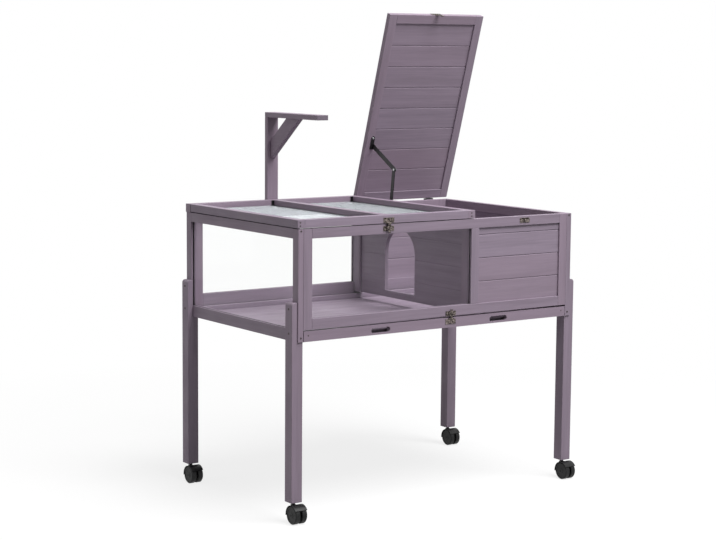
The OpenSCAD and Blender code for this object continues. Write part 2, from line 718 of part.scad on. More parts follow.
// a plate on the partition rail with the lower pivot pin
module stay_bracket_low() {
    face = part_x + stile_w / 2;
    color(dark) {
        span([face, low_pivot[0] - 9, lintel_z + 0.5], [face + 2, low_pivot[0] + 9, top_z - 2]);
        span([face, low_pivot[0] - 9, low_pivot[1] - 9], [face + 2, low_pivot[0] + 9, lintel_z + 0.6]);
        rod_x(face, low_x - 0.4, 4.5, low_pivot[0], low_pivot[1]);
        rod_x(face, low_x + stay_t - 0.1, stay_pin_r, low_pivot[0], low_pivot[1]);
    }
}
// a plate under the lid's left stile, with a round eye at its front end, an ear and the upper pivot pin
stay_plate_t = 1.5;
stay_eye_r = 6.5;
stay_eye_d = 26;
module stay_bracket_top() {
    py = closed_pivot[0];
    pz = closed_pivot[1];
    ear = up_x + stay_t + 0.6;
    eye_x = ear + stay_plate_t - stay_eye_r;
    color(dark) opened()
    difference() {
        union() {
            span([eye_x - stay_eye_r, py - stay_eye_d, lid_z - stay_plate_t], [ear + stay_plate_t, py + 9, lid_z]);
            translate([eye_x, py - stay_eye_d, lid_z - stay_plate_t]) cylinder(r = stay_eye_r, h = stay_plate_t);
            span([ear, py - 7, pz], [ear + stay_plate_t, py + 7, lid_z - 1]);
            rod_x(ear, ear + stay_plate_t, 7, py, pz);
            rod_x(up_x + 0.1, ear + 1, stay_pin_r, py, pz);
        }
        // the screw hole in the eye
        translate([eye_x, py - stay_eye_d, lid_z - 3]) cylinder(r = 2.2, h = 4);
    }
}

// ---------- tray ----------
tray_x = ix - tray_play;
tray_low_z = body_z + runner_h + 0.3;
tray_y1 = iy - 6;
tray_high_z = low_z - tray_gap - 2;
module tray_front() {
    zc = body_z + tray_front_h / 2 - 1.5;
    color(wood)
    difference() {
        span([-tray_x, -sy, body_z + 0.4], [tray_x, -iy, body_z + tray_front_h]);
        for (k = [-1, 1]) {
            translate([k * slot_x - slot_l / 2 + slot_h / 2, -sy - 1, zc - slot_h / 2])
                cube([slot_l - slot_h, frame_t + 2, slot_h]);
            for (e = [-1, 1])
                translate([k * slot_x + e * (slot_l - slot_h) / 2, -iy + 1, zc])
                    rotate([90, 0, 0]) cylinder(r = slot_h / 2, h = frame_t + 2);
        }
    }
}
tray_wall_x = tray_x - 1.5;
module tray_floor() {
    in_x = tray_wall_x - tray_side_t - glue;
    color(wood)
        span([-in_x, -iy + glue, tray_low_z],
            [in_x, tray_y1 - tray_side_t - glue, tray_low_z + tray_floor_t]);
}
module tray_sides() {
    in_x = tray_wall_x - tray_side_t;
    color(wood) {
        span([-tray_wall_x, -iy + glue, tray_low_z], [-in_x, tray_y1, tray_high_z]);
        span([in_x, -iy + glue, tray_low_z], [tray_wall_x, tray_y1, tray_high_z]);
        span([-in_x + glue, tray_y1 - tray_side_t, tray_low_z], [in_x - glue, tray_y1, tray_high_z]);
    }
}

// ---------- screws ----------
// heads seen on the legs' laps, on the corner posts and on the tray's neighbours
module body_screws() {
    color(dark) {
        for (kx = [-1, 1])
            for (ky = [-1, 1])
                for (z = [body_z + 24, body_z + lap_h - 18])
                    translate([kx * (sx + lap_t), ky * leg_y, z])
                        rotate([0, kx * 90, 0]) screw_head();
        for (x = [-sx + 9, sx - 9])
            for (z = [body_z + 12, top_z - 6])
                translate([x, -sy, z]) rotate([90, 0, 0]) screw_head(2.6);
    }
}

// ---------- casters ----------
sock_r = 5.5;
stem_r = 4;
// steel sleeves pushed into the leg ends, each with a flange under the leg
module caster_sockets() {
    color([0.6, 0.6, 0.62])
        for (kx = [-1, 1])
            for (ky = [-1, 1])
                translate([kx * leg_x, ky * leg_y, 0])
                    difference() {
                        union() {
                            translate([0, 0, caster_h - 1.5]) cylinder(r = sock_r + 2, h = 1.5);
                            translate([0, 0, caster_h - 0.1]) cylinder(r = sock_r, h = 34);
                        }
                        translate([0, 0, caster_h - 3]) cylinder(r = stem_r + run, h = 34);
                    }
}
hood_gap = 1.2;
hood_t = 1.4;
hood_r = wheel_d / 2 + hood_gap + hood_t;
hood_mid = hood_r - hood_t / 2;
neck = 5.5;
web_t = 5;
axle_r = 3;
wheel_gap = 0.8;
// points on an arc of radius r about the wheel's axle, from angle a to angle b
function axle_arc(r, a, b, n) = [for (i = [0 : n])
    [-trail + r * cos(a + (b - a) * i / n), wheel_d / 2 + r * sin(a + (b - a) * i / n)]];
// a side profile, with points across the axle and up, made w wide about the middle
module profile(w) {
    translate([-w / 2, 0, 0]) rotate([90, 0, 90]) linear_extrude(w) children();
}
// the swivelling fork at the origin: stem, collar, neck, web between the wheels and hood over them
module fork(x, y) {
    w = web_t + 2 * (wheel_gap + wheel_w);
    back = acos((trail + neck) / hood_mid);
    front = acos((trail - neck) / hood_mid);
    zt = caster_h - 6.5;
    color(dark) translate([x, y, 0])
    difference() {
        union() {
            cylinder_at(zt - 2, caster_h - 1.8, neck - 0.6);
            cylinder_at(caster_h - 8, caster_h + 28, stem_r);
            profile(w) polygon(concat(axle_arc(hood_r, -8, 146, 22),
                axle_arc(hood_r - hood_t, 146, -8, 22)));
            profile(web_t) polygon(concat(axle_arc(hood_mid, -8, 146, 22), axle_arc(9, 170, 330, 12)));
            profile(2 * neck) polygon(concat(axle_arc(hood_mid, back, front, 10),
                [[-neck, zt], [neck, zt]]));
        }
        rod_x(-web_t, web_t, axle_r + run, -trail, wheel_d / 2);
    }
}
module cylinder_at(z0, z1, r) {
    translate([0, 0, z0]) cylinder(r = r, h = z1 - z0);
}
// the two wheels of a caster on their axle
module wheels(x, y) {
    zc = wheel_d / 2;
    color(dark) translate([x, y - trail, zc]) {
        rod_x(-web_t / 2 - wheel_gap - wheel_w + 1, web_t / 2 + wheel_gap + wheel_w - 1, axle_r, 0, 0);
        for (k = [-1, 1])
            rotate([0, k * 90, 0])
                translate([0, 0, web_t / 2 + wheel_gap])
                    rotate_extrude($fn = 64)
                        polygon([[axle_r - 0.5, 0], [wheel_d / 2 - 1.5, 0], [wheel_d / 2, 1.5],
                            [wheel_d / 2, wheel_w - 2.5], [wheel_d / 2 - 2.5, wheel_w],
                            [wheel_d / 2 - 5, wheel_w], [wheel_d / 2 - 6, wheel_w - 1.2],
                            [9, wheel_w - 1.2], [7, wheel_w], [axle_r - 0.5, wheel_w]]);
    }
}
module caster_fl_fork() { fork(-leg_x, -leg_y); }
module caster_fr_fork() { fork(leg_x, -leg_y); }
module caster_rl_fork() { fork(-leg_x, leg_y); }
module caster_rr_fork() { fork(leg_x, leg_y); }
module caster_fl_wheels() { wheels(-leg_x, -leg_y); }
module caster_fr_wheels() { wheels(leg_x, -leg_y); }
module caster_rl_wheels() { wheels(-leg_x, leg_y); }
module caster_rr_wheels() { wheels(leg_x, leg_y); }

leg_front_left();
leg_front_right();
leg_rear_left();
leg_rear_right();
left_frame();
left_window();
right_frame();
right_planks();
front_frame();
front_window();
front_planks();
back_frame();
back_window();
back_planks();
partition();
partition_rail();
partition_battens();
tray_runners();
front_stretcher();
rear_top_bar();
lamp_post();
lamp_arm();
lamp_brace();
mesh_hinge_base();
hide_hinge_base();
catch_plates();
body_screws();
stay_bracket_low();
caster_sockets();
mesh_lid_frame();
mesh_lid_mesh();
mesh_hinge_leaf();
mesh_hasp_plate();
mesh_hasp_flap();
hide_lid_frame();
hide_lid_planks();
hide_hinge_leaf();
hide_hasp_plate();
stay_bracket_top();
hide_hasp_flap();
stay_link_top();
stay_rivet();
stay_link_low();
tray_front();
tray_floor();
tray_sides();
tray_hasp_plate();
tray_hasp_flap();
caster_fl_fork();
caster_fl_wheels();
caster_fr_fork();
caster_fr_wheels();
caster_rl_fork();
caster_rl_wheels();
caster_rr_fork();
caster_rr_wheels();
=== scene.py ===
import json
import math
import random

import bmesh
import bpy
from mathutils import Matrix, Vector


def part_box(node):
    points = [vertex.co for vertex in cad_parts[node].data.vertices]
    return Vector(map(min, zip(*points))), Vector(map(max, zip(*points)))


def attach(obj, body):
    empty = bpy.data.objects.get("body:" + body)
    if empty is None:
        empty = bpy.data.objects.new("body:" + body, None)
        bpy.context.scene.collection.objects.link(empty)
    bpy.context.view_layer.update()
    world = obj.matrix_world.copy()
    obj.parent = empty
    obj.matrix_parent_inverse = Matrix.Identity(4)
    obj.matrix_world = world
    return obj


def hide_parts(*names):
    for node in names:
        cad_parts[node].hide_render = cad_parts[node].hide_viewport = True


# The terrarium cabinet, dressed for the photograph's view. Lengths are in metres, colours in sRGB of 0 to 255, and
# noise scales in repeats per metre. x runs to the right along the cabinet's front, y to its back and z up.

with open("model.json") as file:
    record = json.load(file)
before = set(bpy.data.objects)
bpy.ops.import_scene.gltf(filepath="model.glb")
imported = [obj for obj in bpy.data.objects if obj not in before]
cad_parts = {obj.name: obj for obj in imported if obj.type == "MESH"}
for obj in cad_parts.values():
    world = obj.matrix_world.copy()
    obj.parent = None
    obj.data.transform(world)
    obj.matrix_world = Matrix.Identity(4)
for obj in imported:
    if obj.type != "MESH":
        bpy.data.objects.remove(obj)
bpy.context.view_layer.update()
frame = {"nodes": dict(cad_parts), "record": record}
nodes = frame["nodes"]
behaviour = frame["record"]["behaviour"]
scene = bpy.context.scene

# ---------------------------------------------------------------- camera
# the photograph's camera: its place, and its turn, downward tilt and roll in degrees
CAMERA_AT = (-3.0848, -4.3090, 1.2765)
CAMERA_YAW, CAMERA_PITCH, CAMERA_ROLL = 34.916, 6.964, 0.458
# its focal length and the photograph's width, both in pixels
FOCAL_PX, PHOTO_PX = 1811.85, 716
SENSOR_MM = 36


def add(name, data):
    """A new object in the scene."""
    ob = bpy.data.objects.new(name, data)
    scene.collection.objects.link(ob)
    return ob


def make_camera():
    """The scene's camera, where the photograph was taken from."""
    data = bpy.data.cameras.new("camera")
    camera = add("camera", data)
    yaw, pitch, roll = (math.radians(angle) for angle in (CAMERA_YAW, CAMERA_PITCH, CAMERA_ROLL))
    ahead = Vector((math.sin(yaw) * math.cos(pitch), math.cos(yaw) * math.cos(pitch), -math.sin(pitch)))
    level = Vector((math.cos(yaw), -math.sin(yaw), 0))
    above = level.cross(ahead)
    right = level * math.cos(roll) + above * math.sin(roll)
    up = above * math.cos(roll) - level * math.sin(roll)
    place = Matrix((right, up, -ahead)).transposed().to_4x4()
    place.translation = Vector(CAMERA_AT)
    camera.matrix_world = place
    data.sensor_fit = "HORIZONTAL"
    data.sensor_width = SENSOR_MM
    data.lens = FOCAL_PX / PHOTO_PX * SENSOR_MM
    data.clip_start, data.clip_end = 0.05, 60
    scene.camera = camera


# ---------------------------------------------------------------- material helpers
class Graph:
    """Short calls for building the nodes of a material or of the world. A value is a number, a colour or a socket."""

    def __init__(self, owner, output="ShaderNodeOutputMaterial"):
        self.owner = owner
        owner.use_nodes = True
        self.tree = owner.node_tree
        self.tree.nodes.clear()
        self.out = self.node(output)

    def node(self, kind, **props):
        made = self.tree.nodes.new(kind)
        for key, value in props.items():
            setattr(made, key, value)
        return made

    def put(self, value, socket):
        if isinstance(value, bpy.types.NodeSocket):
            self.tree.links.new(value, socket)
        else:
            socket.default_value = value

    def show(self, shader):
        self.put(shader, self.out.inputs["Surface"])

    def calc(self, operation, a, b):
        made = self.node("ShaderNodeMath", operation=operation)
        self.put(a, made.inputs[0])
        self.put(b, made.inputs[1])
        return made.outputs[0]

    def times(self, a, b):
        return self.calc("MULTIPLY", a, b)

    def plus(self, a, b):
        return self.calc("ADD", a, b)

    def scaled(self, vector, scale):
        made = self.node("ShaderNodeMapping")
        self.put(vector, made.inputs["Vector"])
        made.inputs["Scale"].default_value = scale
        return made.outputs[0]

    def noise(self, vector, scale=1.0, detail=4.0, rough=0.5, distort=0.0):
        made = self.node("ShaderNodeTexNoise")
        self.put(vector, made.inputs["Vector"])
        for key, value in (("Scale", scale), ("Detail", detail), ("Roughness", rough), ("Distortion", distort)):
            made.inputs[key].default_value = value
        return made.outputs["Fac"]

    def remap(self, value, first, last, to=(0.0, 1.0)):
        """A value that goes from first to last, made to go over the range in to instead and held at its ends."""
        made = self.node("ShaderNodeMapRange")
        self.put(value, made.inputs["Value"])
        for key, limit in (("From Min", first), ("From Max", last), ("To Min", to[0]), ("To Max", to[1])):
            made.inputs[key].default_value = limit
        return made.outputs[0]

    def mix(self, share, a, b):
        """The colour a, and by the share of it b. The node keeps its colours in inputs 6 and 7 and output 2."""
        made = self.node("ShaderNodeMix", data_type="RGBA")
        self.put(share, made.inputs[0])
        for colour, socket in ((a, made.inputs[6]), (b, made.inputs[7])):
            self.put(colour if isinstance(colour, bpy.types.NodeSocket) else (*colour, 1), socket)
        return made.outputs[2]

    def mix_shaders(self, share, a, b):
        made = self.node("ShaderNodeMixShader")
        for value, socket in zip((share, a, b), made.inputs):
            self.put(value, socket)
        return made.outputs[0]

    def bump(self, height, distance, strength):
        made = self.node("ShaderNodeBump")
        made.inputs["Strength"].default_value = strength
        made.inputs["Distance"].default_value = distance
        self.put(height, made.inputs["Height"])
        return made.outputs[0]

    def edges(self, radius, leant, flat):
        """0 on flat faces and 1 along edges, by how far the rounded normal leans from the face's own: the product
        of the two is above flat on a face and below leant at an edge."""
        rounded_normal = self.node("ShaderNodeBevel", samples=4)
        rounded_normal.inputs["Radius"].default_value = radius
        geometry = self.node("ShaderNodeNewGeometry")
        dot = self.node("ShaderNodeVectorMath", operation="DOT_PRODUCT")
        self.put(rounded_normal.outputs[0], dot.inputs[0])
        self.put(geometry.outputs["True Normal"], dot.inputs[1])
        return self.remap(dot.outputs["Value"], flat, leant)

    def painted_gap_shade(self, reach, open_at, tight_at):
        """0 in the open and 1 deep in narrow gaps, by how much of the surroundings is hidden within the reach: the
        mask for painted shade.
        """
        shade = self.node("ShaderNodeAmbientOcclusion", samples=6)
        shade.inputs["Distance"].default_value = reach
        return self.remap(shade.outputs["AO"], open_at, tight_at)

    def position(self):
        return self.node("ShaderNodeTexCoord").outputs["Object"]

    def attribute(self, name, output):
        return self.node("ShaderNodeAttribute", attribute_name=name).outputs[output]

    def surface(self, **values):
        made = self.node("ShaderNodeBsdfPrincipled")
        for key, value in values.items():
            self.put(value, made.inputs[key.replace("_", " ")])
        self.show(made.outputs[0])

    def seen(self):
        """1 for rays that show a surface: from the camera, mirrored or refracted."""
        path = self.node("ShaderNodeLightPath")
        through = self.calc("MAXIMUM", path.outputs["Is Glossy Ray"], path.outputs["Is Transmission Ray"])
        return self.calc("MAXIMUM", path.outputs["Is Camera Ray"], through)


def new_graph(name):
    return Graph(bpy.data.materials.new(name))


def linear(r, g, b):
    """An sRGB colour as linear light."""
    return tuple(c / 12.92 if c <= 0.04045 else ((c + 0.055) / 1.055) ** 2.4 for c in (r / 255, g / 255, b / 255))


# ---------------------------------------------------------------- materials
# the paint, and its shades as shares of its colour; the darkest of them is painted shade for seams and narrow gaps
TONE = (147, 133, 149)
DARK_GRAIN, LIGHT_GRAIN, SAWN_END, RUBBED, GAP_SHADE = 0.90, 1.07, 0.76, 1.2, 0.22
WARM_BOARD = (1.04, 0.99, 0.99)
# how often the wood's noises repeat, along the grain and twice across it
FIBRE, YEAR_RINGS, MOTTLE = (9, 230, 230), (1.6, 38, 38), (14, 22, 22)
RUB, PORES = (60, 60, 60), (900, 900, 900)
# how wide an edge of the wood is rubbed, how near other surfaces have to be for painted shade to darken it, and how
# deep the grain is
RUB_WIDTH, SHADE_REACH, GRAIN_DEPTH = 0.0016, 0.03, 0.00045
# how wide the lighter edges of metal and nylon are, rubbed wear and on the bronze also painted highlight, and how
# deep their skin is
METAL_RUB, METAL_DEPTH = 0.0007, 0.00004
NYLON_RUB, NYLON_DEPTH = 0.0008, 0.00005


def shaded(tone, share):
    return linear(*(c * share for c in tone))


def painted_wood(name, tone):
    """Satin paint on fir: the grain tells through in faint streaks and relief, the paint thins at the edges, a sawn
    end drinks more of it and dries darker, and painted shade darkens the seams, recesses and narrow gaps nearly to
    black."""
    g = new_graph(name)
    along = g.attribute("grain_co", "Vector")
    board = g.attribute("board", "Fac")
    fibre = g.noise(g.scaled(along, FIBRE), detail=5, rough=0.6)
    rings = g.noise(g.scaled(along, YEAR_RINGS), detail=3, rough=0.5, distort=0.4)
    mottle = g.noise(g.scaled(along, MOTTLE), detail=3, rough=0.55)
    streak = g.plus(g.times(fibre, 0.45), g.times(rings, 0.55))
    dark = shaded(tone, DARK_GRAIN)
    colour = g.mix(g.remap(streak, 0.32, 0.68), dark, shaded(tone, LIGHT_GRAIN))
    # each board took the paint a little differently
    warm = linear(*(c * share for c, share in zip(tone, WARM_BOARD)))
    colour = g.mix(g.remap(board, 0, 1, to=(0.0, 0.4)), colour, warm)
    colour = g.mix(g.remap(mottle, 0.55, 0.8, to=(0.0, 0.2)), colour, dark)
    colour = g.mix(g.attribute("sawn", "Fac"), colour, shaded(tone, SAWN_END))
    edge = g.edges(RUB_WIDTH, leant=0.80, flat=0.985)
    patchy = g.remap(g.noise(g.scaled(along, RUB), detail=2), 0.35, 0.65, to=(0.1, 0.45))
    colour = g.mix(g.times(edge, patchy), colour, shaded(tone, RUBBED))
    # painted shade: the paint goes nearly black where other surfaces close in, in seams, recesses and gaps
    colour = g.mix(g.painted_gap_shade(SHADE_REACH, open_at=0.44, tight_at=0.16), colour, shaded(tone, GAP_SHADE))
    relief = g.plus(g.times(fibre, 0.6), g.times(rings, 0.4))
    relief = g.plus(relief, g.times(g.noise(g.scaled(along, PORES), detail=1), 0.10))
    g.surface(Base_Color=colour, Roughness=g.remap(mottle, 0.3, 0.7, to=(0.46, 0.6)),
              Normal=g.bump(relief, GRAIN_DEPTH, strength=0.55), Specular_IOR_Level=0.42)
    return g.owner


def acrylic(name):
    """Clear sheet: what is behind shows nearly untouched, with a soft sheen that grows towards glancing angles."""
    g = new_graph(name)
    haze = g.noise(g.scaled(g.position(), (3, 3, 3)), detail=3)
    clear = g.node("ShaderNodeBsdfTransparent")
    clear.inputs["Color"].default_value = (0.996, 0.998, 0.997, 1)
    gloss = g.node("ShaderNodeBsdfPrincipled")
    gloss.inputs["Base Color"].default_value = (0.92, 0.94, 0.94, 1)
    gloss.inputs["Metallic"].default_value = 1.0
    g.put(g.remap(haze, 0.3, 0.7, to=(0.03, 0.09)), gloss.inputs["Roughness"])
    lean = g.node("ShaderNodeLayerWeight")
    lean.inputs["Blend"].default_value = 0.5
    # a plain sheet mirrors 4 per cent of the light head on and all of it at a glance
    head_on = 0.04
    glancing = g.calc("POWER", lean.outputs["Facing"], 5.0)
    mirrored = g.plus(g.times(glancing, 1 - head_on), head_on)
    share = g.times(mirrored, g.remap(haze, 0.3, 0.7, to=(0.16, 0.26)))
    g.show(g.mix_shaders(share, clear.outputs[0], gloss.outputs[0]))
    return g.owner


def metal(name, dark, light, rough, scale, edge_wear_and_highlight=None, metallic=1.0, spread=(0.3, 0.7)):
    """Cast or stamped metal: a fine mottle in colour and gloss, and where it has an edge colour, lighter edges:
    rubbed wear, on the bronze also a painted highlight. The colour goes from dark to light over the spread of a
    noise, and the roughness over the two values in rough."""
    g = new_graph(name)
    position = g.position()
    cloud = g.noise(position, scale=scale * 0.2, detail=4, rough=0.6)
    fine = g.noise(position, scale=scale, detail=3, rough=0.6)
    colour = g.mix(g.remap(cloud, *spread), linear(*dark), linear(*light))
    if edge_wear_and_highlight:
        # lighter edges in the edge colour: rubbed wear, and on the bronze a painted highlight as well
        edge = g.edges(METAL_RUB, leant=0.82, flat=0.99)
        colour = g.mix(g.times(edge, g.remap(fine, 0.35, 0.6, to=(0.25, 0.9))), colour, linear(*edge_wear_and_highlight))
    g.surface(Base_Color=colour, Metallic=metallic, Roughness=g.remap(fine, 0.3, 0.7, to=rough),
              Normal=g.bump(fine, METAL_DEPTH, strength=0.6))
    return g.owner


def plastic(name, tone, rough, grain=1400):
    """Moulded nylon: a faint skin texture, and scuffs and edges that are a little lighter."""
    g = new_graph(name)
    tone = linear(*tone)
    scuffed = tuple(c * 1.9 + 0.004 for c in tone)
    rubbed = tuple(c * 3 + 0.01 for c in tone)
    position = g.position()
    moulded = g.noise(position, scale=grain, detail=2)
    scuff = g.noise(position, scale=70, detail=5, rough=0.7)
    edge = g.edges(NYLON_RUB, leant=0.82, flat=0.99)
    colour = g.mix(g.remap(scuff, 0.45, 0.75), tone, scuffed)
    colour = g.mix(g.times(edge, 0.35), colour, rubbed)
    g.surface(Base_Color=colour, Roughness=g.remap(scuff, 0.3, 0.75, to=rough),
              Normal=g.bump(moulded, NYLON_DEPTH, strength=0.5), Specular_IOR_Level=0.28)
    return g.owner


PAINT = painted_wood("painted_wood", TONE)
PANE = acrylic("clear_acrylic")
WIRE = metal("galvanised_wire", (176, 182, 186), (214, 219, 222), rough=(0.32, 0.55), scale=900)
BLACK = metal("black_steel", (24, 23, 26), (40, 38, 42), rough=(0.34, 0.5), scale=500, edge_wear_and_highlight=(84, 82, 84),
              metallic=0.35)
# the bronze's bright edge colour is partly wear and partly a painted highlight along its edges
BRONZE = metal("old_bronze", (28, 23, 23), (148, 136, 130), rough=(0.3, 0.5), scale=1500, edge_wear_and_highlight=(204, 194, 188),
               metallic=0.8, spread=(0.45, 0.6))
SCREW = metal("dark_screw", (58, 50, 52), (84, 74, 76), rough=(0.36, 0.55), scale=900, edge_wear_and_highlight=(120, 110, 112),
              metallic=0.7)
ZINC = metal("zinc_steel", (168, 170, 172), (206, 208, 210), rough=(0.25, 0.42), scale=600)
NYLON = plastic("black_nylon", (11, 11, 12), rough=(0.32, 0.52))
TYRE = plastic("wheel_nylon", (17, 17, 18), rough=(0.4, 0.62), grain=900)


# ---------------------------------------------------------------- helpers for pieces
def body_of(node):
    return next(body for body, members in behaviour["bodies"].items() if node in members)


def slot_of(node):
    return next(part["material_slot"] for part in frame["record"]["subparts"] if part["node"] == node)


def joint(name):
    return next(j for j in behaviour["joints"] if j["name"] == name)


def mesh_object(name, bm, material):
    """An object made of a finished bmesh."""
    mesh = bpy.data.meshes.new(name)
    bm.to_mesh(mesh)
    bm.free()
    mesh.materials.append(material)
    return add(name, mesh)


def piece(name, bm, body, slot, material):
    """A piece of the cabinet, which rides a body; its slot is not used."""
    ob = mesh_object(name, bm, material)
    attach(ob, body)
    return ob


# an edge that turns by more than this, in degrees, is eased
EDGE_TURN = 35


def ease_edges(ob, width, angle=EDGE_TURN):
    """Rounds the edges that turn by more than the angle in degrees."""
    bevel = ob.modifiers.new("edges", "BEVEL")
    bevel.width = width
    bevel.segments = 2
    bevel.limit_method = "ANGLE"
    bevel.angle_limit = math.radians(angle)
    bevel.harden_normals = True
    bevel.use_clamp_overlap = True


def ring(bm, centre, half_x, half_y, count):
    """A ring of points round the centre, on two half axes."""
    turns = (2 * math.pi * k / count for k in range(count))
    return [bm.verts.new(centre + half_x * math.cos(turn) + half_y * math.sin(turn)) for turn in turns]


def skin(bm, rings):
    """Faces from each ring to the next."""
    for low, high in zip(rings, rings[1:]):
        for k in range(len(low)):
            after = (k + 1) % len(low)
            bm.faces.new((low[k], low[after], high[after], high[k]))


def boards(bm):
    """The separate boards of a mesh, each as a list of its points."""
    seen = set()
    for start in bm.verts:
        if start in seen:
            continue
        stack, board = [start], []
        seen.add(start)
        while stack:
            point = stack.pop()
            board.append(point)
            for edge in point.link_edges:
                other = edge.other_vert(point)
                if other not in seen:
                    seen.add(other)
                    stack.append(other)
        yield board


# turns a point of the open hide lid down to where it lies closed
HIDE_AXIS = Vector(joint("hide_lid_hinge")["pos_m"])
HIDE_OPEN = math.radians(joint("hide_lid_hinge")["range_deg"][1])
HIDE_CLOSE = Matrix.Translation(HIDE_AXIS) @ Matrix.Rotation(HIDE_OPEN, 4, "X") @ Matrix.Translation(-HIDE_AXIS)
# points closer than this are one, edges that turn by less, in degrees, are flat, and an end is as level as this
SAME_POINT, FLAT_TURN, LEVEL_END = 2e-6, 0.6, 1e-4
# how far apart in the grain's noise two boards may lie
GRAIN_SHIFT = 9


def is_end(face, grain_co):
    """Whether a face lies across the grain."""
    along = [point[grain_co].x for point in face.verts]
    return max(along) - min(along) < LEVEL_END


def timber(node, edge, grain=None, ends=0.0):
    """Stands in for a CAD timber: the same solids, with eased edges, each board's own grain and, by the share
    in ends, darker sawn ends. The grain follows a board's longest side, or the axis of that number."""
    rng = random.Random(node)
    bm = bmesh.new()
    bm.from_mesh(nodes[node].data)
    bmesh.ops.remove_doubles(bm, verts=bm.verts, dist=SAME_POINT)
    bmesh.ops.dissolve_limit(bm, angle_limit=math.radians(FLAT_TURN), verts=bm.verts, edges=bm.edges)
    grain_co = bm.verts.layers.float_vector.new("grain_co")
    board_tone = bm.verts.layers.float.new("board")
    turn = HIDE_CLOSE if body_of(node) == "hide_lid" else Matrix.Identity(4)
    for board in boards(bm):
        places = [turn @ point.co for point in board]
        size = [max(p[i] for p in places) - min(p[i] for p in places) for i in range(3)]
        along = size.index(max(size)) if grain is None else grain
        axes = [along] + [i for i in range(3) if i != along]
        shift = Vector([rng.uniform(0, GRAIN_SHIFT) for _ in range(3)])
        tone = rng.random()
        for point, place in zip(board, places):
            point[grain_co] = Vector([place[i] for i in axes]) + shift
            point[board_tone] = tone
    sawn = bm.faces.layers.float.new("sawn")
    for face in bm.faces:
        face.smooth = True
        face[sawn] = ends if is_end(face, grain_co) else 0.0
    ob = piece(node + "_boards", bm, body_of(node), slot_of(node), PAINT)
    # the CAD's shading normals don't fit the eased edges
    normals = ob.data.attributes.get("custom_normal")
    if normals:
        ob.data.attributes.remove(normals)
    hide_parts(node)
    ease_edges(ob, edge)


def finish_node(node, material, edge, angle):
    """Keeps a CAD node and gives it its surface and eased edges."""
    ob = nodes[node]
    ob.data.materials.clear()
    ob.data.materials.append(material)
    ease_edges(ob, edge, angle)


# ---------------------------------------------------------------- timbers
TIMBER_EDGE, PLANK_EDGE = 0.0011, 0.0005
SQUARED = ("leg_front_left", "leg_front_right", "leg_rear_left", "leg_rear_right", "left_frame", "right_frame",
           "front_frame", "back_frame", "partition_rail", "partition_battens", "tray_runners", "front_stretcher",
           "rear_top_bar", "lamp_post", "lamp_brace", "mesh_lid_frame", "hide_lid_frame", "tray_front", "tray_sides")
PLANKED = ("right_planks", "front_planks", "back_planks", "hide_lid_planks")

for name in SQUARED:
    timber(name, TIMBER_EDGE)
for name in PLANKED:
    timber(name, PLANK_EDGE)
timber("lamp_arm", TIMBER_EDGE, ends=1.0)
timber("partition", PLANK_EDGE, grain=1)
timber("tray_floor", PLANK_EDGE, grain=0)

# ---------------------------------------------------------------- panes, metal and plastic
# groups of CAD nodes, each with its material, the width of its eased edges and the least turn that is eased
FINISHES = (
    (("left_window", "front_window", "back_window"), PANE, 0.0003, EDGE_TURN),
    (("mesh_hinge_base", "mesh_hinge_leaf", "hide_hinge_base", "hide_hinge_leaf", "stay_bracket_low",
      "stay_bracket_top", "stay_link_top", "stay_link_low"), BLACK, 0.0002, EDGE_TURN),
    (("catch_plates", "mesh_hasp_plate", "mesh_hasp_flap", "hide_hasp_plate", "hide_hasp_flap", "tray_hasp_plate",
      "tray_hasp_flap"), BRONZE, 0.0002, EDGE_TURN),
    (("body_screws",), SCREW, 0.0001, EDGE_TURN),
    (("stay_rivet",), ZINC, 0.0003, EDGE_TURN),
    (("caster_sockets",), ZINC, 0.0002, EDGE_TURN),
    (("caster_fl_fork", "caster_fr_fork", "caster_rl_fork", "caster_rr_fork"), NYLON, 0.0003, 50),
    (("caster_fl_wheels", "caster_fr_wheels", "caster_rl_wheels", "caster_rr_wheels"), TYRE, 0.0004, 40),
)

for names, material, edge, angle in FINISHES:
    for name in names:
        finish_node(name, material, edge, angle)

# ---------------------------------------------------------------- fine wire mesh of the lid
WIRE_RADIUS, WIRE_PITCH = 0.00045, 0.0127
# the outermost wires' distance from a panel's edges, and the panels' ends from the middle of the middle bar
WIRE_INSET, MIDDLE_TUCK = 0.001, 0.0075
# how far the wires bow sideways at most: those that run to the back, and those across them
LONG_BOW, CROSS_BOW = 0.0004, 0.0003
WIRE_SIDES, WIRE_STEPS, WIRE_SEED = 6, 10, 7


def wire(bm, start, end, bow):
    """One level wire that bows sideways in the middle."""
    up = Vector((0, 0, 1))
    side = (end - start).cross(up).normalized()
    rings = []
    for i in range(WIRE_STEPS + 1):
        t = i / WIRE_STEPS
        centre = start.lerp(end, t) + side * (bow * math.sin(math.pi * t))
        rings.append(ring(bm, centre, side * WIRE_RADIUS, up * WIRE_RADIUS, WIRE_SIDES))
    skin(bm, rings)
    bm.faces.new(rings[0])
    bm.faces.new(rings[-1][::-1])


def spaced(low, high):
    """Even places for the wires between two edges, about a pitch apart."""
    count = round((high - low) / WIRE_PITCH)
    return [low + WIRE_INSET + (high - low - 2 * WIRE_INSET) * i / count for i in range(count + 1)]


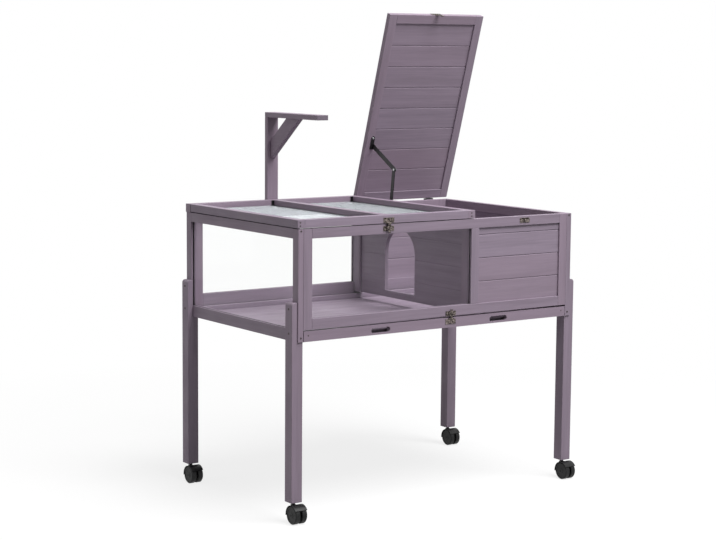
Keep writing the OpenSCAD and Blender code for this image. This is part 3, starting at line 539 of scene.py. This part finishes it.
def wire_mesh():
    """Welded mesh in two panels, from the ends of the CAD's mesh to the grooves of the middle bar."""
    rng = random.Random(WIRE_SEED)
    bm = bmesh.new()
    lo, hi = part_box("mesh_lid_mesh")
    middle = (lo.x + hi.x) / 2
    low_z, high_z = lo.z + WIRE_RADIUS, hi.z - WIRE_RADIUS
    for x0, x1 in ((lo.x, middle - MIDDLE_TUCK), (middle + MIDDLE_TUCK, hi.x)):
        for x in spaced(x0, x1):
            wire(bm, Vector((x, lo.y, low_z)), Vector((x, hi.y, low_z)), rng.uniform(-LONG_BOW, LONG_BOW))
        for y in spaced(lo.y, hi.y):
            wire(bm, Vector((x0, y, high_z)), Vector((x1, y, high_z)), rng.uniform(-CROSS_BOW, CROSS_BOW))
    bmesh.ops.recalc_face_normals(bm, faces=bm.faces)
    for face in bm.faces:
        face.smooth = True
    ob = piece("lid_wire_mesh", bm, "mesh_lid", "bright_wire", WIRE)
    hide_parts("mesh_lid_mesh")


wire_mesh()

# ---------------------------------------------------------------- small screw and rivet heads
# a head's outline from its rim inwards: radius and height, as shares of the head's radius
HEAD_OUTLINE = ((1.0, 0.0), (1.0, 0.12), (0.86, 0.24), (0.6, 0.33), (0.3, 0.36))
HEAD_SIDES = 16
# the height of its centre, as such a share: sunk by the driver's recess, or the top of a plain dome
RECESSED, DOMED = 0.12, 0.38
# the heads' radii
CORNER_HEAD, LEAF_HEAD, EYE_HEAD, KNEE_HEAD = 0.0022, 0.0019, 0.0031, 0.0036
# where the corner screws sit: from the lid's left, right, top and bottom, and from the tray's ends and top
LID_LEFT, LID_RIGHT, LID_TOP, LID_BOTTOM = 0.0075, 0.0125, 0.007, 0.006
TRAY_END, TRAY_TOP = 0.0145, 0.012
# the hide lid's hinge axis lies midway in the gap under the lid
HALF_LID_GAP = 0.0012
# the hide lid's hinges: half their length, the leaves' thickness, and each leaf's three screws, as their places
# along the hinge and their distances from the leaf's inner edge
HINGE_HALF, LEAF = 0.017, 0.001
LEAF_SCREWS = ((-0.011, 0.0065), (0, 0.0095), (0.011, 0.0065))
# the upper bracket of the stay: from the lid's hinge axis to the bracket's round eye, and its radius and thickness
EYE_REACH, EYE_RADIUS, BRACKET = 0.211, 0.0065, 0.0015


def heads(name, body, spots, radius, material=SCREW, slot="dark_screw", centre=RECESSED):
    """Round heads on a body. Each spot is a place and the direction that the head faces."""
    bm = bmesh.new()
    for at, facing in spots:
        turn = Vector(facing).to_track_quat("Z", "Y").to_matrix()
        half_x, half_y, out = (turn @ (axis * radius) for axis in Matrix.Identity(3))
        rings = [ring(bm, Vector(at) + out * height, half_x * width, half_y * width, HEAD_SIDES)
                 for width, height in HEAD_OUTLINE]
        skin(bm, rings)
        tip = bm.verts.new(Vector(at) + out * centre)
        for k in range(HEAD_SIDES):
            bm.faces.new((rings[-1][k], rings[-1][(k + 1) % HEAD_SIDES], tip))
    for face in bm.faces:
        face.smooth = True
    piece(name, bm, body, slot, material)


def corner_screws():
    """Heads on the front ends of the mesh lid's side bars and on the two ends of the tray's front."""
    front = (0, -1, 0)
    lo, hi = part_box("mesh_lid_frame")
    spots = [((x, lo.y, z), front) for x in (lo.x + LID_LEFT, hi.x - LID_RIGHT)
             for z in (hi.z - LID_TOP, lo.z + LID_BOTTOM)]
    heads("lid_corner_screws", "mesh_lid", spots, CORNER_HEAD)
    lo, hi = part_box("tray_front")
    spots = [((x, lo.y, hi.z - TRAY_TOP), front) for x in (lo.x + TRAY_END, hi.x - TRAY_END)]
    heads("tray_corner_screws", "tray", spots, CORNER_HEAD)


def on_open_lid(at, facing):
    """A spot given on the closed hide lid, as it lies on the open one."""
    opened = HIDE_CLOSE.inverted()
    return opened @ Vector(at), opened.to_3x3() @ Vector(facing)


def hinge_screws():
    """Three heads in each leaf of the hide lid's hinges, on the cabinet's back and on the lid's back edge."""
    back = (0, 1, 0)
    lo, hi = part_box("hide_hinge_base")
    face = lo.y + LEAF
    fixed, lifting = [], []
    for x in (lo.x + HINGE_HALF, hi.x - HINGE_HALF):
        for along, away in LEAF_SCREWS:
            fixed.append(((x + along, face, HIDE_AXIS.z - HALF_LID_GAP - away), back))
            lifting.append(on_open_lid((x + along, face, HIDE_AXIS.z + HALF_LID_GAP + away), back))
    heads("hide_hinge_screws", "cabinet", fixed, LEAF_HEAD)
    heads("hide_leaf_screws", "hide_lid", lifting, LEAF_HEAD)


def stay_screw():
    """The bright screw in the round eye of the stay's upper bracket."""
    eye_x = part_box("stay_bracket_top")[1].x - EYE_RADIUS
    under_lid = HIDE_AXIS.z + HALF_LID_GAP - BRACKET
    spot = on_open_lid((eye_x, HIDE_AXIS.y - EYE_REACH, under_lid), (0, 0, -1))
    heads("stay_eye_screw", "hide_lid", [spot], EYE_HEAD, ZINC, "zinc_steel")


def knee_head():
    """The near end of the knee's bright rivet, on the lower link."""
    lo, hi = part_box("stay_rivet")
    at = (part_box("stay_link_low")[0].x, (lo.y + hi.y) / 2, (lo.z + hi.z) / 2)
    heads("stay_knee_head", "stay_lower", [(at, (-1, 0, 0))], KNEE_HEAD, ZINC, "zinc_steel", DOMED)


corner_screws()
hinge_screws()
stay_screw()
knee_head()

# ---------------------------------------------------------------- stage: floor, world, lights
# the floor as the camera sees it: white far off, and near the object a little of its light is left to
# the lamps, so that the shadow shows
SEEN_ALBEDO, SEEN_GLOW = 0.19, 0.82
FADE_FROM, FADE_TO = 1.0, 2.2
# the same floor as it lights the object, and the world's level
BOUNCE_ALBEDO = 0.26
WORLD = 0.13
WHITE = (1, 1, 1, 1)
# half the floor's width, and the place that the lamps face
FLOOR_HALF = 14
LIT_AT = (0, 0, 0.7)


def make_floor():
    """A wide floor that looks white and lights the object like a pale grey one."""
    g = new_graph("floor_white")
    distance = g.node("ShaderNodeVectorMath", operation="LENGTH")
    g.put(g.position(), distance.inputs[0])
    near = g.remap(distance.outputs["Value"], FADE_FROM, FADE_TO, to=(1.0, 0.0))
    lit = g.node("ShaderNodeBsdfDiffuse")
    grey = g.node("ShaderNodeCombineColor")
    for socket in grey.inputs[:3]:
        g.put(g.times(near, SEEN_ALBEDO), socket)
    g.put(grey.outputs[0], lit.inputs["Color"])
    glow = g.node("ShaderNodeEmission")
    g.put(g.remap(near, 0, 1, to=(1.0, SEEN_GLOW)), glow.inputs["Strength"])
    both = g.node("ShaderNodeAddShader")
    g.put(lit.outputs[0], both.inputs[0])
    g.put(glow.outputs[0], both.inputs[1])
    bounce = g.node("ShaderNodeBsdfDiffuse")
    bounce.inputs["Color"].default_value = (BOUNCE_ALBEDO, BOUNCE_ALBEDO, BOUNCE_ALBEDO, 1)
    g.show(g.mix_shaders(g.seen(), bounce.outputs[0], both.outputs[0]))
    bm = bmesh.new()
    bmesh.ops.create_grid(bm, x_segments=1, y_segments=1, size=FLOOR_HALF)
    floor = mesh_object("floor", bm, g.owner)


def make_world():
    """White where it is seen, and a soft light from all round elsewhere."""
    scene.world = bpy.data.worlds.new("studio")
    g = Graph(scene.world, "ShaderNodeOutputWorld")
    levels = []
    for strength in (WORLD, 1.0):
        background = g.node("ShaderNodeBackground")
        background.inputs["Color"].default_value = WHITE
        background.inputs["Strength"].default_value = strength
        levels.append(background.outputs[0])
    g.show(g.mix_shaders(g.seen(), *levels))


def area_light(name, at, size, power):
    """A rectangular lamp that faces the cabinet, its power in watts."""
    data = bpy.data.lights.new(name, "AREA")
    data.shape = "RECTANGLE"
    data.size, data.size_y = size
    data.energy = power
    light = add(name, data)
    light.location = at
    light.rotation_euler = (Vector(LIT_AT) - Vector(at)).to_track_quat("-Z", "Y").to_euler()


make_floor()
make_world()
area_light("key", at=(0.8, -2.3, 5.0), size=(3.2, 3.2), power=385)
area_light("fill", at=(-4.4, 1.0, 1.8), size=(2.6, 2.4), power=23)
make_camera()

scene.view_settings.view_transform = "Standard"
